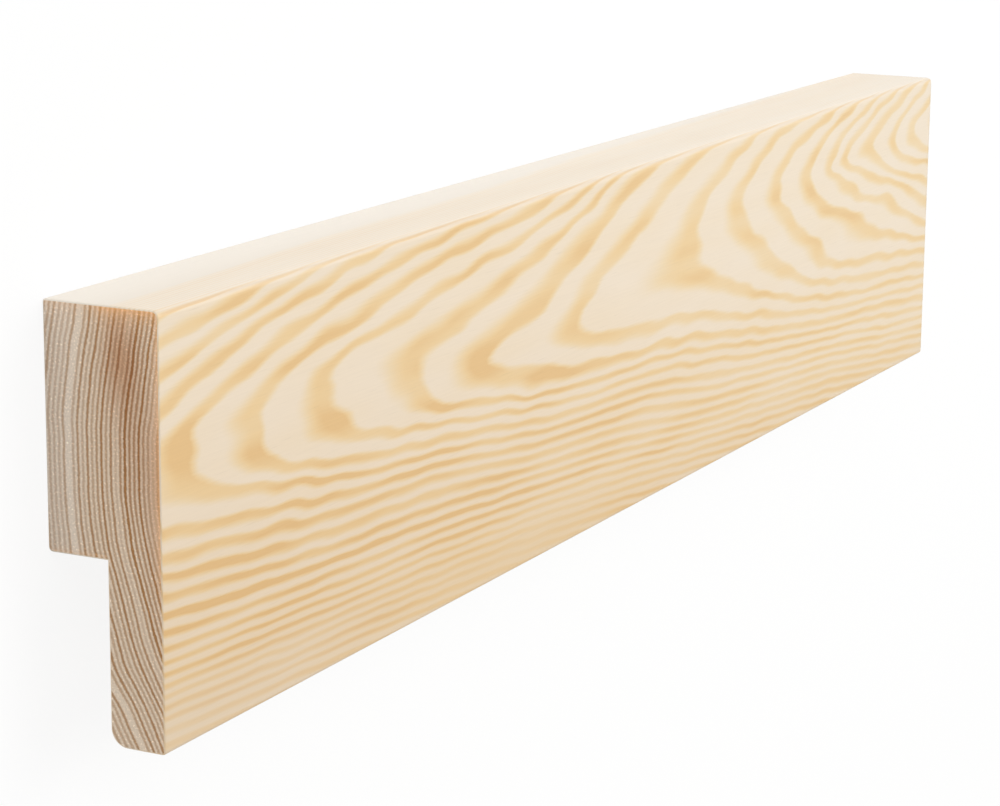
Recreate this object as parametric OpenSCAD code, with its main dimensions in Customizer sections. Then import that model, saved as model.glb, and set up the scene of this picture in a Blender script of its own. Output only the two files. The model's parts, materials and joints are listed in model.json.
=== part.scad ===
// Rebated softwood board, planed on all faces and cross-cut at both ends.
// A rebate runs along the back of one edge and leaves a tongue on the face side.
// The board lies on its back with the face up. X runs along the board, Y across
// it from the tongue to the thick edge, and Z up through the thickness.
// The origin is the middle of the footprint, on the surface that carries the board.

/* [Board] */
// Length between the two cross-cut ends
board_length = 350; // [150:10:2400]
// Width across the face, from the tongue's tip to the thick edge
board_width = 70; // [60:1:145]
// Thickness from the back to the face
board_thickness = 21; // [18:0.5:45]

/* [Rebate] */
// Width of the rebate, in from the tongue's tip
rebate_width = 30; // [12:0.5:45]
// Depth of the rebate, in from the back
rebate_depth = 11; // [4:0.5:12]

/* [Arrises] */
// Radius where the face meets the thick edge
face_arris_radius = 1.2; // [0.2:0.1:3]
// Radius where the back meets the thick edge
back_arris_radius = 0.4; // [0.2:0.1:2]
// Radius where the back meets the rebate's shoulder
shoulder_arris_radius = 0.8; // [0.2:0.1:2]
// Radius on the tongue's tip, on its rebate side
tip_back_radius = 3; // [0.2:0.1:4]
// Radius on the tongue's tip, on its face side
tip_face_radius = 0.6; // [0.2:0.1:1.5]

/* [Hidden] */

// How far a cutter runs past the surface it cuts
cutter_overrun = 1;
// Y of the tongue's tip, the rebate's shoulder and the thick edge
tip_y = -board_width / 2;
shoulder_y = tip_y + rebate_width;
thick_edge_y = board_width / 2;
arris_facets = 64;

// The waste that rounding takes off a square corner at the origin, where the
// timber fills the first quadrant
module arris_waste(radius) {
    difference() {
        translate([-cutter_overrun, -cutter_overrun])
            square(radius + cutter_overrun);
        translate([radius, radius])
            circle(r = radius, $fn = arris_facets);
    }
}

// The board's section, Y to the right and Z up
module board_section() {
    difference() {
        translate([tip_y, 0])
            square([board_width, board_thickness]);
        translate([tip_y - cutter_overrun, -cutter_overrun])
            square([rebate_width + cutter_overrun, rebate_depth + cutter_overrun]);
        translate([thick_edge_y, board_thickness])
            rotate(180)
                arris_waste(face_arris_radius);
        translate([thick_edge_y, 0])
            rotate(90)
                arris_waste(back_arris_radius);
        translate([shoulder_y, 0])
            arris_waste(shoulder_arris_radius);
        translate([tip_y, rebate_depth])
            arris_waste(tip_back_radius);
        translate([tip_y, board_thickness])
            rotate(-90)
                arris_waste(tip_face_radius);
    }
}

// The whole board: one length of the section, sawn square at both ends
module plank() {
    color("#EBD9B6")
        rotate([90, 0, 90])
            linear_extrude(height = board_length, center = true)
                board_section();
}

plank();
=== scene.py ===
"""Planed pine board with a rebated edge, dressed for its picture.

The board lies on its back with the face up. X runs along the board away from the end that
the camera is nearest to, Y across it from the tongue to the thick edge, and Z up through
the thickness. Sizes are in millimetres and become metres as the meshes are written.
"""

import json
import logging
import math
from dataclasses import dataclass, field
from enum import Enum

import bpy
import numpy as np
from mathutils import Matrix, Vector
from numpy.typing import NDArray

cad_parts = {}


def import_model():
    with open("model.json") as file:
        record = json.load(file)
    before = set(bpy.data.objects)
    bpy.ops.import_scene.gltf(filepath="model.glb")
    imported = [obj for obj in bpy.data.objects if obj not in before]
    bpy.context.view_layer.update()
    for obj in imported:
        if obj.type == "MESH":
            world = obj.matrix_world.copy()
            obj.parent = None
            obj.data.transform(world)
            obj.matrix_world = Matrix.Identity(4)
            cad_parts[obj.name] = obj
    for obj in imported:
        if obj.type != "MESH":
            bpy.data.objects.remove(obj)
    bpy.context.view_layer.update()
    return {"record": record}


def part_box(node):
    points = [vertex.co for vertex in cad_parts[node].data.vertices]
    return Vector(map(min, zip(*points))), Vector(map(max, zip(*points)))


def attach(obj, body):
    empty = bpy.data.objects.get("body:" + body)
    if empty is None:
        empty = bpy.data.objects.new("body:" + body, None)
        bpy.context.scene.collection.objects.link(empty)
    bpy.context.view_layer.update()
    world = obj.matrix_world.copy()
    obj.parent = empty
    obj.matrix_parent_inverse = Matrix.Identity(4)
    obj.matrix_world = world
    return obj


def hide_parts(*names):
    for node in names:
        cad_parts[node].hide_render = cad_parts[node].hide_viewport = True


LOG = logging.getLogger("board")
MM = 0.001
# Index of refraction of the wood's cell walls
WOOD_IOR = 1.5
# How near two ring numbers have to be to count as the same year
SAME_YEAR = 0.1
# Mean of a noise texture, and how many finer noises are added to a fine and to a plain one
NOISE_MEAN = 0.5
FINE = 2.0
PLAIN = 0.0
# Inputs of a Map Range node that are filled as a pair
FROM = ("From Min", "From Max")
TO = ("To Min", "To Max")
# Numbers of a Mix node's colour inputs and of its colour output
MIX_FIRST, MIX_SECOND, MIX_RESULT = 6, 7, 2

Array = NDArray[np.float64]
Socket = bpy.types.NodeSocket


class Cut(Enum):
    """How a surface of the board was cut, numbered as the board's material slots."""

    PLANED = 0
    SAWN = 1


class Blend(Enum):
    """How a colour is laid over another, as the Mix node names it."""

    OVER = "MIX"
    TIMES = "MULTIPLY"


class Mark(Enum):
    """The values that the board's mesh carries at each vertex for its finishes to read."""

    RING = "ring_number"
    TONE = "face_tone"
    # Pale outer wood, with painted sheen on the thick edge and a painted highlight at the ends' arrises
    PALLOR = "pallor"
    CLOSE = "ring_closeness"
    CALM = "ring_calm"
    STAIN = "end_stain"
    SAP = "end_sap"
    # Painted glow along the sawn ends' edges, light that shines through from the lit long faces
    RIM = "rim_warmth"


def linear(hex_colour: str) -> tuple[float, float, float, float]:
    """Turns an sRGB hex colour into linear light.

    Args:
        hex_colour: Six hex digits after a hash, as #RRGGBB.

    Returns:
        Red, green, blue and an alpha of one.
    """
    parts = [int(hex_colour[i : i + 2], 16) / 255 for i in (1, 3, 5)]
    red, green, blue = (c / 12.92 if c <= 0.04045 else ((c + 0.055) / 1.055) ** 2.4 for c in parts)
    return red, green, blue, 1.0


def add_node(
    tree: bpy.types.NodeTree,
    kind: str,
    sockets: dict[str | int | tuple[str, ...], object] | None = None,
    **settings: object,
) -> bpy.types.Node:
    """Adds one shader node with its settings, and fills or links its inputs.

    Args:
        tree: The node tree that gets the node.
        kind: The node's type, such as ShaderNodeMath.
        sockets: What goes into each input, by name or number: another node's output, or a value.
            A tuple of names takes as many of them, one for each name.
        **settings: The node's own properties.

    Returns:
        The new node.
    """
    node = tree.nodes.new(kind)
    for name, value in settings.items():
        setattr(node, name, value)
    for key, value in (sockets or {}).items():
        pairs = zip(key, value) if isinstance(key, tuple) else ((key, value),)
        for name, filling in pairs:
            if isinstance(filling, Socket):
                tree.links.new(filling, node.inputs[name])
            else:
                node.inputs[name].default_value = filling
    return node


def smooth_step(low: float, high: float, value: Array) -> Array:
    """Rises from 0 at low to 1 at high along 3t^2 - 2t^3."""
    t = np.clip((value - low) / (high - low), 0.0, 1.0)
    return t * t * (3.0 - 2.0 * t)


def ripple(points: Array, wavelengths: tuple[float, float, float], seed: int, waves: int = 20) -> Array:
    """Makes a smooth, seeded unevenness that fills space.

    The value is the sum of sine waves that run in random directions, each with its own phase
    and a length of 0.7 to 1.7 times the given one, scaled to a spread of about one.

    Args:
        points: Places in mm, one row each.
        wavelengths: Length of the waves along X, Y and Z in mm.
        seed: Start of the random draws.
        waves: How many waves are added.

    Returns:
        One value for each point.
    """
    slowest, fastest = 0.6, 1.4
    draw = np.random.default_rng(seed)
    direction = draw.normal(size=(waves, 3))
    direction /= np.linalg.norm(direction, axis=1, keepdims=True)
    pace = draw.uniform(slowest, fastest, size=(waves, 1))
    phase = draw.uniform(0.0, 2.0 * np.pi, size=waves)
    turns = points @ (direction * pace / np.array(wavelengths)).T
    return np.sin(2.0 * np.pi * turns + phase).sum(axis=1) * math.sqrt(2.0 / waves)


@dataclass(frozen=True)
class Places:
    """Places in the board, by their distances in mm from its near end, its thick edge and its face."""

    along: Array
    across: Array
    depth: Array


@dataclass(frozen=True)
class RingLine:
    """One growth ring's dark line on the face, sketched by a few points on it.

    Each point is its distance from the near end and its distance from the thick edge.
    """

    number: float
    points: tuple[tuple[float, float], ...]


# The face's figure: V-shaped lines that point at the near end along the middle of the
# thick half, and open into near-parallel lines towards the tongue. The row at -0.35 is no dark
# line: it says by how much of a ring the near end falls short of the first V.
FIGURE: tuple[RingLine, ...] = (
    RingLine(-14, ((0, 66), (60, 69))),
    RingLine(-12, ((0, 62), (60, 65), (110, 68))),
    RingLine(-8, ((0, 55), (60, 58), (120, 61), (190, 67))),
    RingLine(-4, ((0, 1), (0, 44), (60, 49), (120, 53), (180, 58), (260, 65))),
    RingLine(-3, ((0, 6), (20, 3))),
    RingLine(-2, ((0, 11), (20, 6), (38, 3), (0, 38), (90, 45), (200, 56), (290, 63))),
    RingLine(-1, ((0, 16), (14, 12), (30, 7.5), (50, 4), (0, 34))),
    RingLine(0, ((100, 2), (62, 6.5), (34, 12), (22, 15.5), (11, 19), (10, 23), (9.5, 26), (15, 30))),
    RingLine(-0.35, ((0, 21), (0, 25), (0, 29))),
    RingLine(0, ((25, 32.5), (40, 35), (60, 38), (120, 44), (180, 48), (230, 54), (340, 64))),
    RingLine(1, ((130, 2), (80, 8), (66, 11.5), (50, 13.5), (40, 16), (30, 20), (29, 25), (31, 28.5))),
    RingLine(1, ((40, 32), (60, 35))),
    RingLine(2, ((150, 2), (110, 9), (90, 12), (68, 15.5), (58, 16.5), (52, 19), (52, 24), (57, 27.5))),
    RingLine(2, ((61, 31), (90, 35.5), (120, 39), (200, 45), (320, 58))),
    RingLine(3, ((159, 2.5), (146, 7), (124, 13), (111, 16.5), (101, 18.5), (98, 20), (86, 21.5))),
    RingLine(3, ((83, 25), (85, 29), (90, 31.5), (106, 34.5), (126, 37.5))),
    RingLine(4, ((173, 4), (154, 11.5), (144, 16), (136, 18.5), (132, 22), (120, 23.5), (109, 26.5))),
    RingLine(4, ((119, 31), (133, 33), (172, 37.5), (320, 52))),
    RingLine(5, ((198, 4), (182, 11), (175, 13.5), (168, 16.5), (156, 20), (151, 24), (147, 27.5))),
    RingLine(5, ((151, 30), (166, 32), (192, 33.5), (222, 38), (320, 50))),
    RingLine(6, ((233, 2), (217, 8), (210, 10.5), (205, 15), (204.5, 20), (206, 25), (217, 29))),
    RingLine(6, ((226, 32), (240, 36), (290, 45))),
    RingLine(7, ((250, 3), (242, 6), (230, 12), (230, 19), (236, 22.5), (243, 26.5), (246, 29))),
    RingLine(7, ((256, 33), (268, 37.5), (288, 41), (320, 44))),
    RingLine(8, ((280, 2), (261, 7), (251, 12.5), (255, 20), (263, 25), (276, 30.5), (281, 35))),
    RingLine(8, ((290, 37), (310, 39), (340, 42))),
    RingLine(9, ((286, 4), (269, 12), (272, 18), (280, 22.5), (298, 26.5), (306, 30), (326, 35))),
    RingLine(10, ((305, 3), (284, 11), (289, 17), (307, 24), (319, 25), (328, 29), (349, 36))),
    RingLine(11, ((310, 5), (291, 13), (308, 18.5), (320, 21.5), (349, 30))),
    RingLine(12, ((325, 5), (309, 12), (325, 20), (349, 25))),
    RingLine(13, ((338, 5), (325, 12), (334, 18), (349, 21))),
    RingLine(14, ((349, 6), (337.5, 11), (349, 17))),
)


@dataclass
class GrowthRings:
    """The tree's yearly rings, as one smooth number through the whole board.

    A whole number is the middle of a dark line. On the face the number is a thin-plate surface
    through the sketched lines, and it falls by one for each ring of depth below the face.
    """

    # Thickness of the board, from the face to the back
    full_depth: float
    lines: tuple[RingLine, ...] = FIGURE
    # Thickness of one year's growth
    pitch: float = 0.84
    # How much longer the figure is drawn along the board than across it
    stretch: float = 4.0
    # How far the surface may pass beside a sketched point
    slack: float = 0.1
    # Distance of the figure's middle from the thick edge
    middle: float = 24.0
    # Share of the rings' bend that is lost from the face to the back
    flattening: float = 0.35
    # How far the rings drift along the board, and across it among close lines and in the open figure
    drift_along: float = 0.5
    drift_close: float = 0.07
    drift_open: float = 0.22
    # Length of that drift along, across and through the board
    drift_waves: tuple[float, float, float] = (15.0, 5.5, 8.0)
    # How many rings the back sways by, and the length of that sway
    sway: float = 0.6
    sway_waves: tuple[float, float, float] = (90.0, 40.0, 60.0)
    # Rings in each mm of the face at which lines count as close, and the figure as open
    close_and_open: tuple[float, float] = (0.45, 0.25)
    # Least fall of the number below the face, as a share of one ring for each pitch
    least_fall: float = 0.5
    # Starts of the random draws for the drift along, the drift across and the sway
    seeds: tuple[int, int, int] = (21, 22, 23)
    knots: Array = field(init=False)
    weights: Array = field(init=False)

    def __post_init__(self) -> None:
        """Solves the thin-plate surface through the sketched lines.

        The unknowns are a weight for each sketched point and the three terms of a plane. The
        surface passes each point to within the slack, and the weights balance about the plane.
        """
        places = np.array([p for line in self.lines for p in line.points], dtype=float)
        numbers = np.array([line.number for line in self.lines for _ in line.points], dtype=float)
        self.knots = places / (self.stretch, 1.0)
        count = len(numbers)
        plane = np.column_stack([np.ones(count), self.knots])
        terms = plane.shape[1]
        system = np.zeros((count + terms, count + terms))
        system[:count, :count] = self._bend(self.knots) + self.slack * np.eye(count)
        system[:count, count:] = plane
        system[count:, :count] = plane.T
        self.weights = np.linalg.solve(system, np.append(numbers, np.zeros(terms)))

    def _bend(self, places: Array) -> Array:
        """Gives the thin plate's bend r^2 log r between each place and each sketched point.

        Args:
            places: Places on the face, with the figure's stretch taken out.

        Returns:
            One row for each place and one column for each sketched point.
        """
        least = 1e-12
        gaps = places[:, None, :] - self.knots[None, :, :]
        squared = np.maximum((gaps**2).sum(axis=2), least)
        return 0.5 * squared * np.log(squared)

    def on_face(self, along: Array, across: Array) -> Array:
        """Gives the ring number on the face.

        The surface is a tilted plane plus the weighted bends of the sketched points.

        Args:
            along: Distance from the near end in mm.
            across: Distance from the thick edge in mm.

        Returns:
            The ring number at each place.
        """
        places = np.column_stack([along / self.stretch, across])
        plane = np.column_stack([np.ones(len(places)), places])
        bends, slopes = np.split(self.weights, [len(self.knots)])
        return self._bend(places) @ bends + plane @ slopes

    def closeness(self, along: Array, across: Array) -> Array:
        """Gives the number of rings in each mm of the face, square to their lines.

        It is the length of the number's slope, from its changes over a mm across and along.

        Args:
            along: Distance from the near end in mm.
            across: Distance from the thick edge in mm.

        Returns:
            Rings in each mm at each place.
        """
        half = 0.5
        over = self.on_face(along, across + half) - self.on_face(along, across - half)
        on = self.on_face(along + half, across) - self.on_face(along - half, across)
        return np.hypot(over, on)

    def number(self, at: Places) -> Array:
        """Gives the ring number anywhere in the board.

        Seeded ripples first move each place by a little, more in the open figure than among the
        close lines. Below the face the number falls by sqrt(1 / pitch^2 - closeness^2) a mm, so
        that slanting rings are as thick as flat ones, while their bend about the figure's middle
        flattens with depth and they sway a little.

        Args:
            at: The places.

        Returns:
            The ring number at each place.
        """
        points = np.column_stack([at.along, at.across, at.depth])
        share = (at.depth / self.full_depth) ** 2
        close = self.closeness(at.along, at.across)
        openness = smooth_step(*self.close_and_open, close)
        drift = self.drift_close + (self.drift_open - self.drift_close) * openness
        seed_along, seed_across, seed_sway = self.seeds
        along = at.along + self.drift_along * ripple(points, self.drift_waves, seed_along)
        across = at.across + drift * ripple(points, self.drift_waves, seed_across)
        middle = self.on_face(along, np.full_like(across, self.middle))
        bend = (self.on_face(along, across) - middle) * (1.0 - self.flattening * share)
        fall = np.sqrt(np.maximum(1.0 - (self.pitch * close) ** 2, self.least_fall**2)) / self.pitch
        sway = self.sway * share * ripple(points, self.sway_waves, seed_sway)
        return middle + bend - at.depth * fall + sway


@dataclass(frozen=True)
class ToneSpot:
    """A soft place where the wood is darker or calmer: its middle, its reach each way and its strength."""

    along: float
    across: float
    depth: float
    reach: tuple[float, float, float]
    strength: float

    def tone(self, at: Places) -> Array:
        """Gives the tone at each place: a bell curve of the distance from the spot's middle."""
        gaps = (at.along - self.along, at.across - self.across, at.depth - self.depth)
        return self.strength * np.exp(-sum((gap / reach) ** 2 for gap, reach in zip(gaps, self.reach)))


# On the long faces the wood is yellower towards the near end and the tongue, and the thick edge
# is a little darker along its middle and at its far back.
FACE_TONES: tuple[ToneSpot, ...] = (
    ToneSpot(0, 40, 0, (190, 60, 10), 0.42),
    ToneSpot(0, 60, 2, (340, 24, 14), 0.6),
    ToneSpot(190, 71, 0, (240, 8, 10), 0.45),
    ToneSpot(90, 0, 8.5, (220, 0.8, 5.5), 0.32),
    ToneSpot(300, 0, 16, (80, 0.8, 6), 0.3),
)
# On the near end a stain spreads below the face, darkest near the thick edge. It fades along the
# board, so the far end has little of it.
END_TONES: tuple[ToneSpot, ...] = (
    ToneSpot(0, 8, 6.8, (200, 8, 3.2), 0.8),
    ToneSpot(0, 22, 4.5, (200, 10, 3.5), 0.35),
    ToneSpot(0, 28, 0.5, (200, 16, 2.2), 0.5),
)


@dataclass(frozen=True)
class WoodShades:
    """Where on the board the wood is paler, calmer or darker beside its rings, and where painted light
    lies: an orange glow along the sawn ends' edges, a sheen on the thick edge and a highlight at the ends'
    arrises.

    Sizes are in mm. A pair of places is where a change starts and where it is full.
    """

    # Spots that darken the long faces and the sawn ends
    face_spots: tuple[ToneSpot, ...] = FACE_TONES
    end_spots: tuple[ToneSpot, ...] = END_TONES
    # Darkness and width of the thin line along the face arris
    arris_tone: float = 0.5
    arris_width: float = 0.4
    # Strength of the painted glow on a sawn end at its strongest, which stands for light that shines
    # through from the lit long faces
    warmth: float = 0.85
    # Reach of the painted glow from the thick edge, its share low down and the depths where it grows
    edge_reach: float = 1.3
    edge_rest: float = 0.25
    edge_depths: tuple[float, float] = (13.0, 9.0)
    # Reach of the painted glow from the face, its share beside the tongue and the places where it grows
    face_reach: float = 0.55
    face_rest: float = 0.15
    face_places: tuple[float, float] = (48.0, 38.0)
    # Reach of the painted glow from the shoulder, its share and the depths where it grows
    step_reach: float = 0.4
    step_share: float = 0.5
    step_depths: tuple[float, float] = (9.0, 11.0)
    # Depths below the face where the sapwood of a sawn end starts and is full
    sap_depths: tuple[float, float] = (11.0, 18.0)
    # Ring numbers and depths where the pale outer wood starts, and its share away from the edge
    outer_rings: tuple[float, float] = (-12.5, -15.0)
    outer_depths: tuple[float, float] = (2.0, 6.0)
    outer_rest: float = 0.72
    outer_places: tuple[float, float] = (3.0, 1.0)
    # Painted sheen on the thick edge, as a share of the pale colour, and the places where it starts and is
    # full
    edge_sheen: float = 0.6
    edge_places: tuple[float, float] = (1.2, 0.0)
    # Pallor of the face's near corner beside the tongue's tip
    corner_pallor: float = 0.3
    corner_across: tuple[float, float] = (56.0, 66.0)
    corner_along: tuple[float, float] = (95.0, 25.0)
    # Painted highlight on the arris at each end, as a share of the pale colour, and how far from the end it
    # is full
    end_highlight: float = 0.25
    end_full: float = 0.1
    # Calm of the figure towards the tongue's tip, and a smooth spot there
    tip_calm: float = 0.35
    tip_places: tuple[float, float] = (50.0, 63.0)
    smooth_spot: ToneSpot = ToneSpot(125, 67, 0, (42, 6, 200), 0.4)
    # Calm of the figure towards the far end, beside the tongue
    far_calm: float = 0.2
    far_along: tuple[float, float] = (60.0, 190.0)
    far_across: tuple[float, float] = (36.0, 46.0)

    def face_tone(self, at: Places, arris: float) -> Array:
        """Gives how dark the long faces are.

        The spots add up with a thin line along the face arris, which is a bell curve of the
        distance from the middle of its round.

        Args:
            at: The places.
            arris: Radius of the face arris in mm.

        Returns:
            The tone at each place.
        """
        middle = arris * (1.0 - math.sqrt(0.5))
        squared = ((at.across - middle) ** 2 + (at.depth - middle) ** 2) / self.arris_width**2
        spots = sum(spot.tone(at) for spot in self.face_spots)
        return spots + self.arris_tone * np.exp(-squared)

    def end_stain(self, at: Places) -> Array:
        """Gives how dark the sawn ends are: the sum of their spots."""
        return sum(spot.tone(at) for spot in self.end_spots)

    def end_sap(self, at: Places) -> Array:
        """Gives how much of the sawn ends is sapwood, which grows with depth."""
        return smooth_step(*self.sap_depths, at.depth)

    def rim_warmth(self, at: Places, shoulder: float) -> Array:
        """Gives the painted glow on the sawn ends near the thick edge, the face and the shoulder.

        It stands for the light that shines through the wood from the lit long faces. The glow falls
        as exp(-distance / reach) from each of them, and is the strongest one.

        Args:
            at: The places.
            shoulder: Distance of the rebate's shoulder from the thick edge in mm.

        Returns:
            A share from 0 to 1 at each place.
        """
        high = self.edge_rest + (1.0 - self.edge_rest) * smooth_step(*self.edge_depths, at.depth)
        thick = self.face_rest + (1.0 - self.face_rest) * smooth_step(*self.face_places, at.across)
        low = self.step_share * smooth_step(*self.step_depths, at.depth)
        edge = high * np.exp(-at.across / self.edge_reach)
        face = thick * np.exp(-at.depth / self.face_reach)
        step = low * np.exp(-np.abs(shoulder - at.across) / self.step_reach)
        return self.warmth * np.maximum.reduce([edge, face, step])

    def pallor(self, at: Places, ring: Array) -> Array:
        """Gives how pale the long faces are, away from the ends: pale wood and painted sheen.

        The outer rings are pale below the face, the thick edge is more than half pale with a painted
        sheen, and the face's near corner beside the tongue's tip is a little pale. The strongest counts.

        Args:
            at: The places.
            ring: The ring number.

        Returns:
            A share from 0 to 1 at each place.
        """
        outer = self.outer_rest + (1.0 - self.outer_rest) * smooth_step(*self.outer_places, at.across)
        outer = outer * smooth_step(*self.outer_rings, ring) * smooth_step(*self.outer_depths, at.depth)
        # Painted sheen on the thick edge
        edge = self.edge_sheen * smooth_step(*self.edge_places, at.across)
        corner = self.corner_pallor * smooth_step(*self.corner_across, at.across)
        corner = corner * smooth_step(*self.corner_along, at.along)
        return np.maximum.reduce([outer, edge, corner])

    def calm(self, at: Places) -> Array:
        """Gives how calm the figure is: more so towards the tongue's tip and the far end.

        Args:
            at: The places.

        Returns:
            A share from 0 to 1 at each place.
        """
        tip = self.tip_calm * smooth_step(*self.tip_places, at.across) + self.smooth_spot.tone(at)
        far = self.far_calm * smooth_step(*self.far_along, at.along)
        return np.maximum(tip, far * smooth_step(*self.far_across, at.across))


def start_material(name: str, marks: tuple[Mark, ...]) -> tuple[bpy.types.Material, list[Socket]]:
    """Starts a node material that reads the board's own coordinates and some of its marks.

    Args:
        name: The material's name.
        marks: The marks that the finish reads.

    Returns:
        The material, and the sockets that carry the coordinates and each mark.
    """
    made = bpy.data.materials.new(name)
    made.use_nodes = True
    tree = made.node_tree
    tree.nodes.clear()
    sockets = [add_node(tree, "ShaderNodeTexCoord").outputs["Object"]]
    for mark in marks:
        read = add_node(tree, "ShaderNodeAttribute", attribute_name=mark.value)
        sockets.append(read.outputs["Fac"])
    return made, sockets


def draw_years(
    tree: bpy.types.NodeTree,
    year: Socket,
    chance: Socket,
    span: tuple[float, float],
    accents: tuple[tuple[int, float], ...],
    shares: tuple[bpy.types.Node, ...],
) -> Socket:
    """Gives how strongly the lines are drawn.

    Each year has a strength by chance, an accent adds to it, and the shares multiply it.

    Args:
        tree: The material's node tree.
        year: The whole number of the ring.
        chance: The ring's own random number from 0 to 1.
        span: Strength of the weakest and of the strongest ring.
        accents: Rings that differ, each with what is added to its strength.
        shares: The nodes that give what the strength is multiplied by.

    Returns:
        The socket that carries the strength.
    """
    force = add_node(tree, "ShaderNodeMapRange", {"Value": chance, TO: span}).outputs[0]
    for number, change in accents:
        same = add_node(tree, "ShaderNodeMath", {0: year, 1: number, 2: SAME_YEAR}, operation="COMPARE")
        terms = {0: same.outputs[0], 1: change, 2: force}
        force = add_node(tree, "ShaderNodeMath", terms, operation="MULTIPLY_ADD").outputs[0]
    for share in shares:
        terms = {0: force, 1: share.outputs[0]}
        force = add_node(tree, "ShaderNodeMath", terms, operation="MULTIPLY").outputs[0]
    return force


def close_material(
    tree: bpy.types.NodeTree,
    colour: object,
    layers: tuple[tuple[object, object, Blend], ...],
    relief: dict[str, object],
    roughness: float,
) -> None:
    """Lays colours over the wood's first one, and adds the relief, the shader and the output.

    Args:
        tree: The material's node tree.
        colour: The first colour, as a socket or a value.
        layers: What is laid over it in order: its share, its colour and how it is blended.
        relief: What goes into the bump node.
        roughness: The shader's roughness.
    """
    for share, shade, way in layers:
        colours = {0: share, MIX_FIRST: colour, MIX_SECOND: shade}
        mixed = add_node(tree, "ShaderNodeMix", colours, data_type="RGBA", blend_type=way.value)
        colour = mixed.outputs[MIX_RESULT]
    bump = add_node(tree, "ShaderNodeBump", relief)
    surface = {"Base Color": colour, "Roughness": roughness, "IOR": WOOD_IOR, "Normal": bump.outputs[0]}
    shader = add_node(tree, "ShaderNodeBsdfPrincipled", surface)
    add_node(tree, "ShaderNodeOutputMaterial", {"Surface": shader.outputs[0]})


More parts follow.
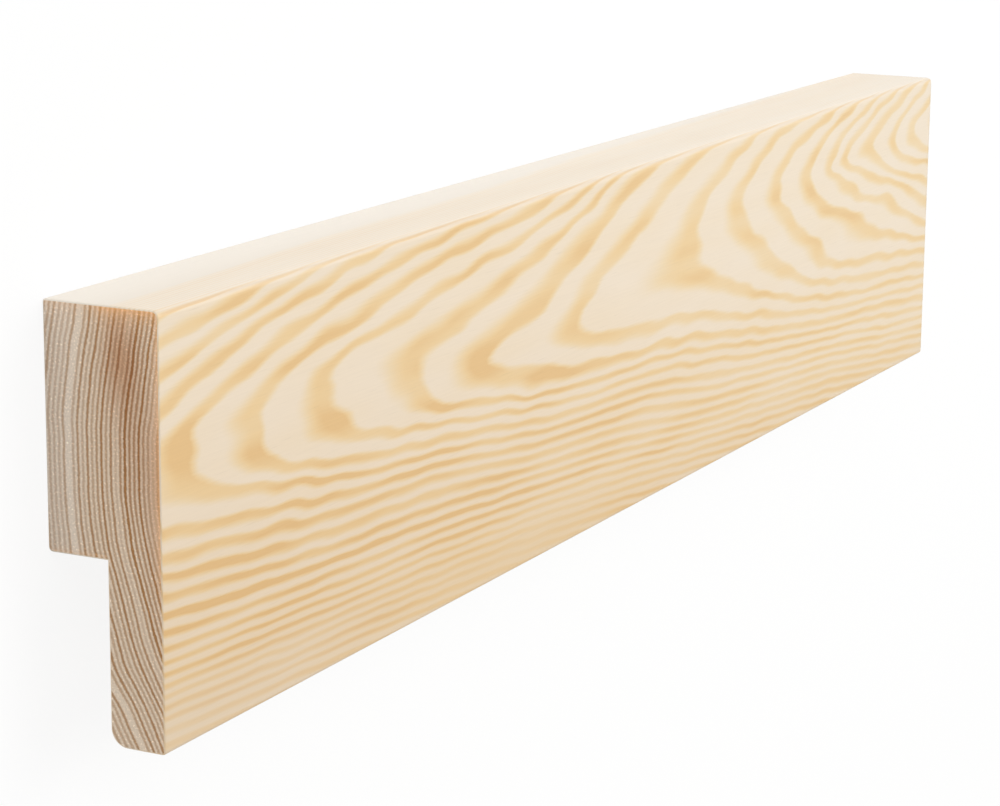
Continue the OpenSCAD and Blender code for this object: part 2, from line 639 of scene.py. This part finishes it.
@dataclass(frozen=True)
class PlanedPine:
    """Scots pine, planed and left bare, along the grain.

    Cream earlywood turns golden over about half of each ring and stops short at the next one. The
    planer leaves a close surface with a silky shine at a low angle, and the outer wood is paler.
    """

    # Colour by the strength of the latewood, from the palest earlywood to the darkest line
    shades: tuple[tuple[float, str], ...] = (
        (0.0, "#F5E7D3"),
        (0.4, "#F4DEB8"),
        (0.75, "#F3D5A2"),
        (1.0, "#EDC88F"),
    )
    # Pale outer wood, also mixed in as painted sheen on the thick edge and a painted highlight at the ends'
    # arrises
    sapwood: str = "#EEE5D8"
    # Multiplied in where the wood is darker
    stain: str = "#F3EBE1"
    # Where in a ring the dark line is, as a share of the ring
    peak: float = 0.68
    # How far the sketched lines lie past the darkest place, as a share of the ring
    lead: float = 0.06
    # How far before its dark line a golden band starts and is full, as a share of the ring
    rise: tuple[float, float] = (0.53, 0.12)
    # How far past its dark line a band fades, as a share of the ring, among far and close rings
    fade: tuple[float, float] = (0.12, 0.31)
    # How far the fibres fray a band's edges, as a share of the ring, among far and close rings
    fraying: tuple[float, float] = (0.03, 0.16)
    # Rings in each mm across the board that count as close
    close: float = 0.4
    # How much narrower a year's golden band may be than another's
    narrowing: tuple[float, float] = (0.85, 1.3)
    # How strongly a year, a patch of it and a darker place are drawn
    year_force: tuple[float, float] = (0.66, 0.9)
    patch_force: tuple[float, float] = (0.74, 1.1)
    tone_force: tuple[float, float] = (0.84, 1.32)
    # How golden the earlywood of a patch may be
    blush: float = 0.16
    # Strength of the latewood that calm figure tends to
    calm_share: float = 0.38
    # Rings that are drawn more strongly
    accents: tuple[tuple[int, float], ...] = ((-5, 0.3), (-1, 0.1), (0, 0.15), (8, 0.1))
    # Length and width of the fibres that fray a ring's edge, in mm
    fray: tuple[float, float] = (8.0, 0.6)
    # Length and width of the finest fibres, drawn as coarse as the picture needs
    fibre: tuple[float, float] = (14.0, 0.35)
    # Length and width of the patches where a line is stronger or weaker
    patch: tuple[float, float] = (30.0, 5.0)
    # Length and width of the resin canals, drawn as coarse as the picture needs
    canal: tuple[float, float] = (7.0, 0.25)
    # How much the finest fibres and the canals change the colour
    fleck: tuple[float, float] = (0.98, 1.015)
    canal_shade: float = 0.94
    # Values of each noise between which a patch, a fibre and a canal change
    patch_span: tuple[float, float] = (0.3, 0.7)
    fibre_span: tuple[float, float] = (0.25, 0.75)
    canal_span: tuple[float, float] = (0.64, 0.74)
    roughness: float = 0.34
    # Depth of the fibres in mm, and the share of it that shows
    fibre_depth: float = 0.03
    fibre_show: float = 0.2

    def _noises(self, tree: bpy.types.NodeTree, place: Socket) -> dict[str, Socket]:
        """Adds the noises that are drawn out along the grain.

        Args:
            tree: The material's node tree.
            place: The board's own coordinates.

        Returns:
            The socket that carries each noise, by name.
        """
        grains = {
            "fray": (self.fray, FINE),
            "fibre": (self.fibre, FINE),
            "patch": (self.patch, PLAIN),
            "canal": (self.canal, FINE),
        }
        noises = {}
        for name, ((length, width), detail) in grains.items():
            scale = (1 / (length * MM), 1 / (width * MM), 1 / (width * MM))
            drawn = add_node(tree, "ShaderNodeMapping", {"Vector": place, "Scale": scale})
            noise = add_node(
                tree, "ShaderNodeTexNoise", {"Vector": drawn.outputs[0], "Scale": 1.0, "Detail": detail}
            )
            noises[name] = noise.outputs["Fac"]
        return noises

    def _latewood(
        self, tree: bpy.types.NodeTree, ring: Socket, tone: Socket, close: Socket, noises: dict[str, Socket]
    ) -> Socket:
        """Gives how golden the wood is, from earlywood at 0 to the darkest line at about 1.

        Args:
            tree: The material's node tree.
            ring: The ring number.
            tone: How dark the place is.
            close: Rings in each mm of the face.
            noises: The noises along the grain, by name.

        Returns:
            The socket that carries the strength of the latewood.
        """
        # The ring's own number and the place in it, frayed by the fibres
        reach = add_node(
            tree, "ShaderNodeMapRange", {"Value": close, "From Max": self.close, TO: self.fraying}
        )
        uneven = add_node(
            tree, "ShaderNodeMath", {0: noises["fray"], 1: NOISE_MEAN}, operation="SUBTRACT"
        )
        moved = {0: uneven.outputs[0], 1: reach.outputs[0], 2: ring}
        frayed = add_node(tree, "ShaderNodeMath", moved, operation="MULTIPLY_ADD")
        ahead = {0: frayed.outputs[0], 1: self.peak + self.lead}
        shifted = add_node(tree, "ShaderNodeMath", ahead, operation="ADD").outputs[0]
        year = add_node(tree, "ShaderNodeMath", {0: shifted}, operation="FLOOR").outputs[0]
        phase = add_node(tree, "ShaderNodeMath", {0: shifted}, operation="FRACT").outputs[0]
        chance = add_node(tree, "ShaderNodeTexWhiteNoise", {"W": year}, noise_dimensions="1D")
        lots = add_node(tree, "ShaderNodeSeparateColor", {0: chance.outputs["Color"]})
        # Broad and narrow golden bands
        spread = add_node(
            tree, "ShaderNodeMapRange", {"Value": lots.outputs[0], TO: self.narrowing}
        )
        before = add_node(tree, "ShaderNodeMath", {0: self.peak, 1: phase}, operation="SUBTRACT")
        narrower = {0: before.outputs[0], 1: spread.outputs[0]}
        narrowed = add_node(tree, "ShaderNodeMath", narrower, operation="MULTIPLY")
        rise = add_node(
            tree,
            "ShaderNodeMapRange",
            {"Value": narrowed.outputs[0], FROM: self.rise},
            interpolation_type="SMOOTHSTEP",
        )
        # The band stops short where the rings are far apart, and softly where they are close
        stops = (self.peak + self.fade[0], self.peak + self.fade[1])
        stop = add_node(tree, "ShaderNodeMapRange", {"Value": close, "From Max": self.close, TO: stops})
        fade = add_node(
            tree,
            "ShaderNodeMapRange",
            {"Value": phase, FROM: (self.peak, stop.outputs[0]), TO: (1.0, 0.0)},
            interpolation_type="SMOOTHSTEP",
        )
        # Some years, patches and places are drawn more strongly
        patchy = add_node(
            tree,
            "ShaderNodeMapRange",
            {"Value": noises["patch"], FROM: self.patch_span, TO: self.patch_force},
        )
        deeper = add_node(tree, "ShaderNodeMapRange", {"Value": tone, TO: self.tone_force})
        shares = (patchy, deeper, rise, fade)
        force = draw_years(tree, year, lots.outputs[1], self.year_force, self.accents, shares)
        blushed = {0: noises["patch"], 1: self.blush, 2: force}
        return add_node(tree, "ShaderNodeMath", blushed, operation="MULTIPLY_ADD").outputs[0]

    def material(self) -> bpy.types.Material:
        """Makes the node material.

        Returns:
            The finished material.
        """
        marks = (Mark.RING, Mark.TONE, Mark.PALLOR, Mark.CLOSE, Mark.CALM)
        made, (place, ring, tone, pallor, close, calm) = start_material("scots_pine_planed", marks)
        tree = made.node_tree
        noises = self._noises(tree, place)
        share = self._latewood(tree, ring, tone, close, noises)
        # Where the figure is calm, the lines and the wood between them are closer in colour
        short = add_node(tree, "ShaderNodeMath", {0: self.calm_share, 1: share}, operation="SUBTRACT")
        calmer = {0: calm, 1: short.outputs[0], 2: share}
        calmed = add_node(tree, "ShaderNodeMath", calmer, operation="MULTIPLY_ADD")
        figure = add_node(tree, "ShaderNodeValToRGB", {"Fac": calmed.outputs[0]})
        while len(figure.color_ramp.elements) < len(self.shades):
            figure.color_ramp.elements.new(1.0)
        for element, (strength, shade) in zip(figure.color_ramp.elements, self.shades):
            element.position = strength
            element.color = linear(shade)
        flecks = add_node(
            tree, "ShaderNodeMapRange", {"Value": noises["fibre"], FROM: self.fibre_span, TO: self.fleck}
        )
        canals = add_node(
            tree,
            "ShaderNodeMapRange",
            {"Value": noises["canal"], FROM: self.canal_span, TO: (1.0, self.canal_shade)},
        )
        layers = (
            # Pale wood, with painted sheen on the thick edge and a painted highlight at the ends' arrises
            (pallor, linear(self.sapwood), Blend.OVER),
            (tone, linear(self.stain), Blend.TIMES),
            (1.0, flecks.outputs[0], Blend.TIMES),
            (1.0, canals.outputs[0], Blend.TIMES),
        )
        relief = {
            "Height": noises["fibre"],
            "Strength": self.fibre_show,
            "Distance": self.fibre_depth * MM,
        }
        close_material(tree, figure.outputs["Color"], layers, relief, self.roughness)
        return made


@dataclass(frozen=True)
class SawnPine:
    """Scots pine across the grain, as a cross-cut saw leaves it.

    Open fibre ends drink up the light, so the wood is browner and duller than on the long
    faces, with one fine brown line a year and a fuzz of pale specks. Along the arrises an orange
    painted glow stands for the light that shines through the wood from the lit long faces.
    """

    earlywood: str = "#E6D3BD"
    latewood: str = "#A67848"
    sapwood: str = "#EBDCCB"
    # Mixed in along the arrises as a painted glow, light that shines through from the lit long faces
    warm: str = "#FFBE7E"
    # Multiplied in where the wood is darker
    stain: str = "#D9B496"
    # Rings that are drawn more strongly, or more weakly below zero
    accents: tuple[tuple[int, float], ...] = (
        (-20, -0.7),
        (-10, -0.3),
        (-8, 0.35),
        (-5, 0.2),
        (-2, -0.3),
    )
    # How strongly a year is drawn, and how much weaker it is in the sapwood
    year_force: tuple[float, float] = (0.55, 1.0)
    sap_force: float = 0.75
    # Size in mm of the saw's fuzz, of the slow wander of the lines and of their fine unevenness
    fuzz: float = 0.35
    wander: float = 3.0
    jitter: float = 0.5
    # How far the lines wander and are uneven, as a share of the ring
    wandering: float = 0.25
    unevenness: float = 0.36
    # Distance from the middle of a ring at which the dark line starts and is full
    line: tuple[float, float] = (0.06, 0.42)
    # How much darker and brighter the fuzz is than the wood
    speck: tuple[float, float] = (0.9, 1.1)
    # How much brighter the few torn fibres are
    glint: float = 1.4
    # Values of the fuzz between which a speck and a torn fibre change
    speck_span: tuple[float, float] = (0.25, 0.75)
    glint_span: tuple[float, float] = (0.6, 0.74)
    roughness: float = 0.85
    # Depth of the fuzz in mm, and the share of it that shows
    fuzz_depth: float = 0.15
    fuzz_show: float = 0.4

    def _line(
        self, tree: bpy.types.NodeTree, ring: Socket, sap: Socket, noises: dict[str, Socket]
    ) -> Socket:
        """Gives how dark each year's line is, from 0 between the lines to about 1.

        Args:
            tree: The material's node tree.
            ring: The ring number.
            sap: How much of the place is sapwood.
            noises: The noises that move the lines, by name.

        Returns:
            The socket that carries the darkness.
        """
        # Half a ring is added, so that the triangle wave below peaks on the dark line
        half = 0.5
        middle = half - NOISE_MEAN * (self.wandering + self.unevenness)
        moved = add_node(tree, "ShaderNodeMath", {0: ring, 1: middle}, operation="ADD").outputs[0]
        for name, amount in (("wander", self.wandering), ("jitter", self.unevenness)):
            terms = {0: noises[name], 1: amount, 2: moved}
            moved = add_node(tree, "ShaderNodeMath", terms, operation="MULTIPLY_ADD").outputs[0]
        year = add_node(tree, "ShaderNodeMath", {0: moved}, operation="FLOOR").outputs[0]
        phase = add_node(tree, "ShaderNodeMath", {0: moved, 1: half}, operation="PINGPONG")
        chance = add_node(tree, "ShaderNodeTexWhiteNoise", {"W": year}, noise_dimensions="1D")
        weaker = add_node(tree, "ShaderNodeMapRange", {"Value": sap, TO: (1.0, self.sap_force)})
        dark = add_node(
            tree,
            "ShaderNodeMapRange",
            {"Value": phase.outputs[0], FROM: self.line},
            interpolation_type="SMOOTHSTEP",
        )
        lot = chance.outputs["Value"]
        return draw_years(tree, year, lot, self.year_force, self.accents, (weaker, dark))

    def material(self) -> bpy.types.Material:
        """Makes the node material.

        Returns:
            The finished material.
        """
        marks = (Mark.RING, Mark.STAIN, Mark.SAP, Mark.RIM)
        made, (place, ring, tone, sap, rim) = start_material("scots_pine_sawn_end", marks)
        tree = made.node_tree
        noises = {}
        for name, size in (("fuzz", self.fuzz), ("wander", self.wander), ("jitter", self.jitter)):
            noise = add_node(
                tree, "ShaderNodeTexNoise", {"Vector": place, "Scale": 1 / (size * MM), "Detail": FINE}
            )
            noises[name] = noise.outputs["Fac"]
        specks = add_node(
            tree, "ShaderNodeMapRange", {"Value": noises["fuzz"], FROM: self.speck_span, TO: self.speck}
        )
        glints = add_node(
            tree,
            "ShaderNodeMapRange",
            {"Value": noises["fuzz"], FROM: self.glint_span, TO: (1.0, self.glint)},
        )
        layers = (
            (sap, linear(self.sapwood), Blend.OVER),
            (self._line(tree, ring, sap, noises), linear(self.latewood), Blend.OVER),
            (tone, linear(self.stain), Blend.TIMES),
            # Painted glow along the edges, light that shines through from the lit long faces
            (rim, linear(self.warm), Blend.OVER),
            (1.0, specks.outputs[0], Blend.TIMES),
            (1.0, glints.outputs[0], Blend.TIMES),
        )
        relief = {"Height": noises["fuzz"], "Strength": self.fuzz_show, "Distance": self.fuzz_depth * MM}
        close_material(tree, linear(self.earlywood), layers, relief, self.roughness)
        return made


@dataclass
class Board:
    """The rebated board as one surface: its section carried along X, closed by two sawn ends."""

    length: float
    width: float
    thickness: float
    # Y of the rebate's shoulder and Z of its cheek
    shoulder: float
    cheek: float
    # Radius of each long arris: at the face, the back, the shoulder and both sides of the tip
    face_arris: float = 1.2
    back_arris: float = 0.4
    shoulder_arris: float = 0.8
    tip_back: float = 3.0
    tip_face: float = 0.6
    # Radius that sandpaper leaves where a long face meets a sawn end
    end_arris: float = 0.25
    # Number of cells across the tongue, across the thick part, down the rebate and up the tongue
    tongue_cells: int = 40
    thick_cells: int = 52
    rebate_cells: int = 14
    tip_cells: int = 16
    # Number of cells along the straight length and round an end's arris
    length_cells: int = 280
    arris_cells: int = 3
    # How much closer the section's lines stand at the edges than in the middle
    bunching: float = 0.6
    # Least radius of an arris once it is drawn in, and the slack in telling which points are in it
    least_radius: float = 0.05
    round_slack: float = 0.001
    # Angle in degrees past which two faces meet at a sharp edge
    crease: float = 50.0
    shades: WoodShades = WoodShades()

    @classmethod
    def from_frame(cls, record: dict) -> "Board":
        """Takes the board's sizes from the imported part.

        Args:
            record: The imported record, whose mounts place the rebate.

        Returns:
            A board of the part's own size.
        """
        low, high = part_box("plank")
        mounts = {mount["name"]: mount["pos_m"] for mount in record["mounts"]}
        return cls(
            length=(high[0] - low[0]) / MM,
            width=(high[1] - low[1]) / MM,
            thickness=(high[2] - low[2]) / MM,
            shoulder=mounts["rebate_shoulder"][1] / MM,
            cheek=mounts["rebate_cheek"][2] / MM,
        )

    def _spaced(self, cells: int) -> Array:
        """Spaces lines from 0 to 1 as t - a sin(2 pi t) / 2 pi, so that they bunch at both ends."""
        t = np.linspace(0.0, 1.0, cells + 1)
        return t - self.bunching * np.sin(2.0 * np.pi * t) / (2.0 * np.pi)

    def section(self, inset: Array) -> tuple[Array, Array]:
        """Gives the section's grid, drawn in from the outline by each inset.

        Lines across the tongue and the thick part cross lines up the rebate and the tongue. Each
        outer corner is rounded by turning its square (a, b) into a quarter disc,
        (a sqrt(1 - b^2 / 2), b sqrt(1 - a^2 / 2)).

        Args:
            inset: How far each section is drawn in, in mm.

        Returns:
            Y and Z of the grid's points, by section, line across and line up.
        """
        inset = inset[:, None, None]
        tip, edge = -self.width / 2 + inset, self.width / 2 - inset
        shoulder, cheek = self.shoulder + inset, self.cheek + inset
        back, face = inset, self.thickness - inset
        tongue = tip + (shoulder - tip) * self._spaced(self.tongue_cells)[None, :, None]
        thick = shoulder + (edge - shoulder) * self._spaced(self.thick_cells)[None, 1:, None]
        lower = back + (cheek - back) * self._spaced(self.rebate_cells)[None, None, :]
        upper = cheek + (face - cheek) * self._spaced(self.tip_cells)[None, None, 1:]
        y, z = np.broadcast_arrays(
            np.concatenate([tongue, thick], axis=1), np.concatenate([lower, upper], axis=2)
        )
        corners = (
            (edge, face, self.face_arris, 1, 1),
            (edge, back, self.back_arris, 1, -1),
            (shoulder, back, self.shoulder_arris, -1, -1),
            (tip, cheek, self.tip_back, -1, -1),
            (tip, face, self.tip_face, -1, 1),
        )
        limit = 1.0 + self.round_slack
        for corner_y, corner_z, arris, out_y, out_z in corners:
            radius = np.maximum(arris - inset, self.least_radius)
            middle_y, middle_z = corner_y - out_y * radius, corner_z - out_z * radius
            a = out_y * (y - middle_y) / radius
            b = out_z * (z - middle_z) / radius
            inside = (a > 0) & (b > 0) & (a < limit) & (b < limit)
            round_y = middle_y + out_y * radius * a * np.sqrt(np.maximum(1 - b * b / 2, 0))
            round_z = middle_z + out_z * radius * b * np.sqrt(np.maximum(1 - a * a / 2, 0))
            y, z = np.where(inside, round_y, y), np.where(inside, round_z, z)
        return y, z

    def outline(self) -> tuple[NDArray[np.int64], NDArray[np.int64]]:
        """Lists the section's outline as grid lines: cheek, shoulder, back, thick edge, face, tip.

        Returns:
            The line across and the line up of each point, anticlockwise seen from the far end.
        """
        last_across, last_up = self.tongue_cells + self.thick_cells, self.rebate_cells + self.tip_cells
        turns = (
            (0, self.rebate_cells),
            (self.tongue_cells, self.rebate_cells),
            (self.tongue_cells, 0),
            (last_across, 0),
            (last_across, last_up),
            (0, last_up),
            (0, self.rebate_cells),
        )
        across, up = [], []
        for (i, j), (next_i, next_j) in zip(turns, turns[1:]):
            steps = max(abs(next_i - i), abs(next_j - j))
            across.append(np.linspace(i, next_i, steps, endpoint=False).round().astype(int))
            up.append(np.linspace(j, next_j, steps, endpoint=False).round().astype(int))
        return np.concatenate(across), np.concatenate(up)

    def stations(self) -> tuple[Array, Array]:
        """Places the sections along X, with a quarter round at each end.

        Round an end's arris, x moves by r (1 - sin a) and the section draws in by r (1 - cos a)
        as a goes from a right angle to zero.

        Returns:
            X and the inset of each section.
        """
        angle = np.linspace(np.pi / 2, 0.0, self.arris_cells + 1)
        half = self.length / 2
        near = -half + self.end_arris * (1 - np.sin(angle))
        inset = self.end_arris * (1 - np.cos(angle))
        straight = np.linspace(near[-1], -near[-1], self.length_cells + 1)[1:-1]
        x = np.concatenate([near, straight, -near[::-1]])
        return x, np.concatenate([inset, np.zeros_like(straight), inset[::-1]])

    def surface(self) -> tuple[Array, NDArray[np.int64], NDArray[np.int64]]:
        """Works out the whole surface.

        The outline at each station makes the long faces, and the drawn-in section at each end
        closes it with a grid of its own.

        Returns:
            The points in mm, the four corners of each face, and each face's cut.
        """
        x, inset = self.stations()
        y, z = self.section(inset)
        across, up = self.outline()
        rim = len(across)
        skin = np.stack(
            [np.broadcast_to(x[:, None], (len(x), rim)), y[:, across, up], z[:, across, up]], axis=2
        )
        points = [skin.reshape(-1, 3)]
        index = np.arange(len(x) * rim).reshape(len(x), rim)
        turned = np.roll(index, -1, axis=1)
        long_faces = np.stack([index[:-1], turned[:-1], turned[1:], index[1:]], axis=2).reshape(-1, 4)
        faces = [long_faces]
        cuts = [np.full(len(long_faces), Cut.PLANED.value)]
        lines_across, lines_up = y.shape[1], y.shape[2]
        wood = np.ones((lines_across, lines_up), dtype=bool)
        wood[: self.tongue_cells, : self.rebate_cells] = False
        inner = wood.copy()
        inner[across, up] = False
        cells = np.ones((lines_across - 1, lines_up - 1), dtype=bool)
        cells[: self.tongue_cells, : self.rebate_cells] = False
        used = len(points[0])
        for station, way in ((0, -1), (len(x) - 1, 1)):
            grid = np.full((lines_across, lines_up), -1)
            grid[across, up] = index[station]
            grid[inner] = used + np.arange(inner.sum())
            used += inner.sum()
            points.append(
                np.column_stack([np.full(inner.sum(), x[station]), y[station][inner], z[station][inner]])
            )
            ring = np.stack([grid[:-1, :-1], grid[1:, :-1], grid[1:, 1:], grid[:-1, 1:]], axis=2)
            end_faces = ring[cells][:, ::way]
            faces.append(end_faces)
            cuts.append(np.full(len(end_faces), Cut.SAWN.value))
        return np.concatenate(points), np.concatenate(faces), np.concatenate(cuts)

    def build(self, rings: GrowthRings) -> bpy.types.Object:
        """Makes the board's object and stores at its vertices what the finishes read.

        The arris round each end gets a painted highlight, a little of the pale colour, beside what the
        wood's shades give.

        Args:
            rings: The growth rings that run through the board.

        Returns:
            The board, at the origin.
        """
        points, faces, cuts = self.surface()
        mesh = bpy.data.meshes.new("pine_board")
        mesh.from_pydata((points * MM).tolist(), [], faces.tolist())
        mesh.polygons.foreach_set("material_index", cuts.astype(np.int32))
        mesh.polygons.foreach_set("use_smooth", np.ones(len(faces), dtype=bool))
        mesh.set_sharp_from_angle(angle=math.radians(self.crease))
        at = Places(
            along=points[:, 0] + self.length / 2,
            across=self.width / 2 - points[:, 1],
            depth=self.thickness - points[:, 2],
        )
        ring = rings.number(at)
        shades = self.shades
        from_end = np.minimum(at.along, self.length - at.along)
        # Painted highlight along the arris at each end
        end_highlight_share = shades.end_highlight * smooth_step(self.end_arris, shades.end_full, from_end)
        values = {
            Mark.RING: ring,
            Mark.CLOSE: rings.closeness(at.along, at.across),
            Mark.CALM: shades.calm(at),
            # Pale wood, with painted sheen and a painted highlight
            Mark.PALLOR: np.maximum(shades.pallor(at, ring), end_highlight_share),
            Mark.TONE: shades.face_tone(at, self.face_arris),
            Mark.STAIN: shades.end_stain(at),
            Mark.SAP: shades.end_sap(at),
            # Painted glow along the sawn ends' edges
            Mark.RIM: shades.rim_warmth(at, self.width / 2 - self.shoulder),
        }
        for mark, value in values.items():
            layer = mesh.attributes.new(mark.value, "FLOAT", "POINT")
            layer.data.foreach_set("value", value.astype(np.float32))
        mesh.update()
        board = bpy.data.objects.new("pine_board", mesh)
        bpy.context.scene.collection.objects.link(board)
        return board

    def dress(self, board: bpy.types.Object) -> None:
        """Gives the board its two finishes and sets it in the frame.

        Args:
            board: The object that build made.
        """
        for finish in (PlanedPine(), SawnPine()):
            board.data.materials.append(finish.material())
        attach(board, "root")
        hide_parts("plank")


@dataclass(frozen=True)
class Lamp:
    """A square soft light, aimed at the middle of the board."""

    name: str
    place: tuple[float, float, float]
    size: float
    watts: float

    def hang(self) -> bpy.types.Object:
        """Makes the lamp and turns it to the board.

        Returns:
            The lamp.
        """
        light = bpy.data.lights.new(self.name, "AREA")
        light.size = self.size * MM
        light.energy = self.watts
        lamp = bpy.data.objects.new(self.name, light)
        lamp.location = Vector(self.place) * MM
        lamp.rotation_euler = (-lamp.location).to_track_quat("-Z", "Y").to_euler()
        bpy.context.scene.collection.objects.link(lamp)
        return lamp


@dataclass
class Studio:
    """A white table under soft light, and the camera that looks down on the board's near end."""

    floor_side: float = 8000.0
    floor_colour: str = "#FCFCFA"
    # Share of the floor's look that is plain white, so that the shadow stays light
    floor_glow: float = 0.88
    # Strength of the room's even light
    sky: float = 0.45
    lamps: tuple[Lamp, ...] = (
        Lamp("key", (350.0, 350.0, 1050.0), 900.0, 8.9),
        Lamp("fill", (-650.0, 750.0, 420.0), 700.0, 2.35),
    )
    # The camera, on its side so that the thick edge is at the top of the picture
    camera_place: tuple[float, float, float] = (-549.6, 122.1, 268.3)
    camera_aim: tuple[float, float, float] = (0.87, -0.2203, -0.441)
    camera_up: tuple[float, float, float] = (0.1927, 0.9754, -0.1072)
    # Focal length, and width of the sensor behind it
    lens: float = 109.44
    sensor: float = 36.0

    def lay_floor(self) -> bpy.types.Object:
        """Lays the table top, a flat grid of one cell, and gives it its white finish.

        Returns:
            The floor.
        """
        side = np.array([-0.5, 0.5]) * self.floor_side * MM
        x, y = np.meshgrid(side, side)
        points = np.column_stack([x.ravel(), y.ravel(), np.zeros(4)])
        mesh = bpy.data.meshes.new("table_top")
        mesh.from_pydata(points.tolist(), [], [(0, 1, 3, 2)])
        floor = bpy.data.objects.new("table_top", mesh)
        bpy.context.scene.collection.objects.link(floor)
        made = bpy.data.materials.new("white_table")
        made.use_nodes = True
        tree = made.node_tree
        tree.nodes.clear()
        rays = add_node(tree, "ShaderNodeLightPath")
        seen = rays.outputs["Is Camera Ray"]
        for ray in ("Is Glossy Ray", "Is Transmission Ray"):
            seen = add_node(
                tree, "ShaderNodeMath", {0: seen, 1: rays.outputs[ray]}, operation="MAXIMUM"
            ).outputs[0]
        share = add_node(tree, "ShaderNodeMath", {0: seen, 1: self.floor_glow}, operation="MULTIPLY")
        matt = add_node(tree, "ShaderNodeBsdfDiffuse", {"Color": linear(self.floor_colour)})
        white = add_node(tree, "ShaderNodeEmission", {"Strength": 1.0})
        mixed = add_node(
            tree, "ShaderNodeMixShader", {0: share.outputs[0], 1: matt.outputs[0], 2: white.outputs[0]}
        )
        add_node(tree, "ShaderNodeOutputMaterial", {"Surface": mixed.outputs[0]})
        mesh.materials.append(made)
        return floor

    def light_sky(self) -> None:
        """Fills the room with even white light, which the camera sees as plain white.

        The sky is dimmer as a light than it looks, so that the lamps model the board.
        """
        world = bpy.data.worlds.new("white_room")
        world.use_nodes = True
        tree = world.node_tree
        tree.nodes.clear()
        rays = add_node(tree, "ShaderNodeLightPath")
        strength = add_node(
            tree,
            "ShaderNodeMapRange",
            {"Value": rays.outputs["Is Camera Ray"], TO: (self.sky, 1.0)},
        )
        light = add_node(
            tree, "ShaderNodeBackground", {"Color": (1.0, 1.0, 1.0, 1.0), "Strength": strength.outputs[0]}
        )
        add_node(tree, "ShaderNodeOutputWorld", {"Surface": light.outputs[0]})
        bpy.context.scene.world = world

    def set_camera(self) -> bpy.types.Object:
        """Sets the camera at the picture's viewing angle.

        Returns:
            The scene's camera.
        """
        lens = bpy.data.cameras.new("camera")
        lens.lens = self.lens
        lens.sensor_width = self.sensor
        camera = bpy.data.objects.new("camera", lens)
        aim = Vector(self.camera_aim).normalized()
        right = aim.cross(Vector(self.camera_up)).normalized()
        up = right.cross(aim)
        turn = Matrix((right, up, -aim)).transposed().to_4x4()
        camera.matrix_world = Matrix.Translation(Vector(self.camera_place) * MM) @ turn
        bpy.context.scene.collection.objects.link(camera)
        bpy.context.scene.camera = camera
        return camera

    def build(self) -> None:
        """Builds the whole studio.

        The colours are shown as they are, without a film look.
        """
        self.set_camera()
        self.lay_floor()
        self.light_sky()
        for lamp in self.lamps:
            lamp.hang()
        bpy.context.scene.view_settings.view_transform = "Standard"


def main() -> None:
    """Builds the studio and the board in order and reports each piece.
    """
    logging.basicConfig(level=logging.INFO, format="%(name)s: %(message)s")
    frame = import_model()
    Studio().build()
    LOG.info("studio with floor, light and camera")
    board = Board.from_frame(frame["record"])
    piece = board.build(GrowthRings(full_depth=board.thickness))
    board.dress(piece)
    LOG.info("%s with %d faces", piece.name, len(piece.data.polygons))


if __name__ == "__main__":
    main()
